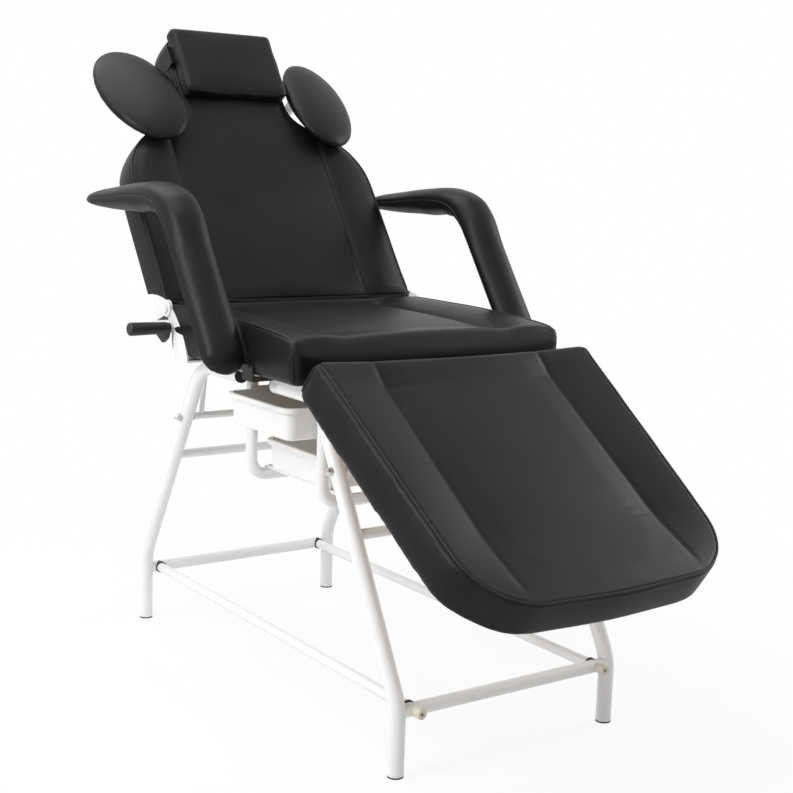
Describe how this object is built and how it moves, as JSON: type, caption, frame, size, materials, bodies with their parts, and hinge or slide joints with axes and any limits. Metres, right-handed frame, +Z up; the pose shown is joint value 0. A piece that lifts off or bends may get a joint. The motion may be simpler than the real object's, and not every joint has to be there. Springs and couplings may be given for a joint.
{
  "type": "tattoo chair",
  "caption": "Reclining tattoo chair on a white tube base, with black padded seat, backrest, leg rest, armrests, sliding head pads and pull-out trays under the seat.",
  "frame": {"origin": "on the floor, under the middle of the overall box", "axes": "+Z up; -Y towards the foot end and +Y towards the head end, the longest extent; +X towards the sitter's left, the shortest extent"},
  "size_m": [0.8253, 1.5478, 1.3668],
  "materials": {
    "black_upholstery": "satin black artificial leather over foam",
    "plywood": "plain plywood",
    "black_rubber": "matt black",
    "cream_plastic": "matt cream",
    "black_plastic": "matt black",
    "black_steel": "black oxide",
    "chrome": "polished",
    "bright_steel": "zinc plated",
    "white_plastic": "white, moulded",
    "white_powder_coat": "gloss white powder coat"
  },
  "bodies": {
    "frame": {"arm_bracket_left": "white_powder_coat", "arm_bracket_right": "white_powder_coat", "cross_rails": "white_powder_coat", "dome_nuts": "chrome", "foot_plugs": "black_rubber", "hanger_front": "white_powder_coat", "hanger_rear": "white_powder_coat", "hinge_cheek_left": "white_powder_coat", "hinge_cheek_right": "white_powder_coat", "leg_front_left": "white_powder_coat", "leg_front_right": "white_powder_coat", "leg_rear_left": "white_powder_coat", "leg_rear_right": "white_powder_coat", "legrest_knuckles": "white_powder_coat", "lever_stud": "bright_steel", "lower_bar_front": "white_powder_coat", "lower_bar_rear": "white_powder_coat", "recline_bolts": "black_steel", "seat_board": "plywood", "seat_bolts": "bright_steel", "seat_cushion": "black_upholstery", "seat_rails": "white_powder_coat", "side_bar_caps": "cream_plastic", "side_bar_saddles": "black_rubber", "side_bars": "white_powder_coat", "spreader_rods": "white_powder_coat", "stay_rods": "white_powder_coat", "strap_screws": "bright_steel", "stub_plugs": "black_rubber", "tray_rails": "white_powder_coat", "tray_straps": "white_powder_coat", "upper_bar_front": "white_powder_coat", "upper_bar_rear": "white_powder_coat"},
    "backrest": {"backrest_cushion": "black_upholstery", "backrest_board": "plywood", "wing_plate_left": "white_powder_coat", "wing_plate_right": "white_powder_coat", "ear_sleeves": "white_powder_coat"},
    "legrest": {"legrest_cushion": "black_upholstery", "legrest_board": "plywood", "legrest_leaves": "white_powder_coat", "legrest_pins": "bright_steel"},
    "armrest_left": {"armrest_pad_left": "black_upholstery", "armrest_plate_left": "white_powder_coat", "armrest_hub_left": "black_steel"},
    "armrest_right": {"armrest_pad_right": "black_upholstery", "armrest_plate_right": "white_powder_coat", "armrest_hub_right": "black_steel"},
    "ear_left": {"ear_pad_left": "black_upholstery", "ear_arm_left": "white_powder_coat"},
    "ear_right": {"ear_pad_right": "black_upholstery", "ear_arm_right": "white_powder_coat"},
    "headrest": {"pillow": "black_upholstery", "pillow_band": "black_upholstery"},
    "upper_drawer": {"upper_tray": "white_plastic"},
    "lower_drawer": {"lower_tray": "white_plastic"},
    "recline_lever": {"lever_cam": "black_plastic", "lever_grip": "black_plastic"}
  },
  "joints": [
    {"name": "backrest_recline", "type": "hinge", "parent": "frame", "child": "backrest", "pos_m": [0, 0.291, 0.754], "axis": [1, 0, 0], "range_deg": [-55.2, 15]},
    {"name": "legrest_tilt", "type": "hinge", "parent": "frame", "child": "legrest", "pos_m": [0, -0.24, 0.655], "axis": [1, 0, 0], "range_deg": [-35.2, 25]},
    {"name": "armrest_left_swing", "type": "hinge", "parent": "frame", "child": "armrest_left", "pos_m": [0.3185, -0.055, 0.688], "axis": [1, 0, 0], "range_deg": [-30, 0]},
    {"name": "armrest_right_swing", "type": "hinge", "parent": "frame", "child": "armrest_right", "pos_m": [-0.3185, -0.055, 0.688], "axis": [1, 0, 0], "range_deg": [-30, 0]},
    {"name": "ear_left_slide", "type": "slide", "parent": "backrest", "child": "ear_left", "axis": [1, 0, 0], "range_m": [0, 0.05]},
    {"name": "ear_right_slide", "type": "slide", "parent": "backrest", "child": "ear_right", "axis": [-1, 0, 0], "range_m": [0, 0.05]},
    {"name": "pillow_slide", "type": "slide", "parent": "backrest", "child": "headrest", "axis": [0, 0.5707, 0.8211], "range_m": [-0.02, 0.03]},
    {"name": "upper_tray_slide", "type": "slide", "parent": "frame", "child": "upper_drawer", "axis": [1, 0, 0], "range_m": [-0.06, 0.094]},
    {"name": "lower_tray_slide", "type": "slide", "parent": "frame", "child": "lower_drawer", "axis": [1, 0, 0], "range_m": [-0.15, 0]},
    {"name": "recline_lever_turn", "type": "hinge", "parent": "frame", "child": "recline_lever", "pos_m": [-0.329, 0.267, 0.716], "axis": [1, 0, 0], "range_deg": [0, 40]}
  ]
}
